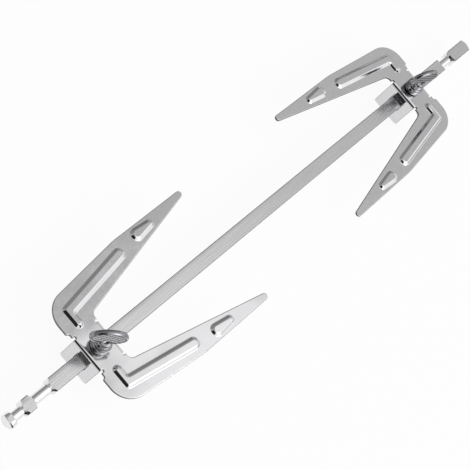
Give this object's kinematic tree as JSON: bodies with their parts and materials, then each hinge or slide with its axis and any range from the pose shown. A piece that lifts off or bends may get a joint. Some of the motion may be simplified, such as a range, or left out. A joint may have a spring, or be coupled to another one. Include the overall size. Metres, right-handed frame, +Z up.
{
  "type": "rotisserie spit with meat forks",
  "caption": "Square steel rotisserie spit with turned ends; stamped forks face each other, slide along the bar and are clamped by thumbscrews.",
  "frame": {"origin": "middle of the object's footprint, on the plane that the fork brackets' lower edges rest on", "axes": "+X along the bar from the support end, with the round head, to the drive end, with the long square block; +Z up, towards the thumbscrews"},
  "size_m": [0.4, 0.0754, 0.0443],
  "materials": {
    "bar_steel": "drawn bar, brushed along its length, turned bright at the ends",
    "fork_sheet": "polished stamped sheet",
    "nut_steel": "plated, satin",
    "shank_steel": "plated thread",
    "cast_head": "cast and nickel plated, ribbed"
  },
  "bodies": {
    "spit": {"spit_rod": "bar_steel"},
    "support_fork": {"support_fork_plate": "fork_sheet", "support_clamp_nut": "nut_steel"},
    "support_screw": {"support_screw_shank": "shank_steel"},
    "support_screw_head": {"support_screw_head": "cast_head"},
    "drive_fork": {"drive_fork_plate": "fork_sheet", "drive_clamp_nut": "nut_steel"},
    "drive_screw": {"drive_screw_shank": "shank_steel"},
    "drive_screw_head": {"drive_screw_head": "cast_head"}
  },
  "joints": [
    {"name": "support_fork_slide", "type": "slide", "parent": "spit", "child": "support_fork", "axis": [1, 0, 0], "range_m": [-0.0228, 0.035]},
    {"name": "support_screw_lift", "type": "slide", "parent": "support_fork", "child": "support_screw", "axis": [0, 0, 1], "range_m": [0, 0.0023]},
    {"name": "support_screw_turn", "type": "hinge", "parent": "support_screw", "child": "support_screw_head", "pos_m": [-0.1405, 0, 0.03], "axis": [0, 0, 1], "range_deg": [0, 810]},
    {"name": "drive_fork_slide", "type": "slide", "parent": "spit", "child": "drive_fork", "axis": [-1, 0, 0], "range_m": [-0.0284, 0.035]},
    {"name": "drive_screw_lift", "type": "slide", "parent": "drive_fork", "child": "drive_screw", "axis": [0, 0, 1], "range_m": [0, 0.0023]},
    {"name": "drive_screw_turn", "type": "hinge", "parent": "drive_screw", "child": "drive_screw_head", "pos_m": [0.133, 0, 0.03], "axis": [0, 0, 1], "range_deg": [0, 810]}
  ],
  "couplings": [
    {"joint": "support_screw_lift", "follows": "support_screw_turn", "m_per_rad": 0.00015915},
    {"joint": "drive_screw_lift", "follows": "drive_screw_turn", "m_per_rad": 0.00015915}
  ]
}
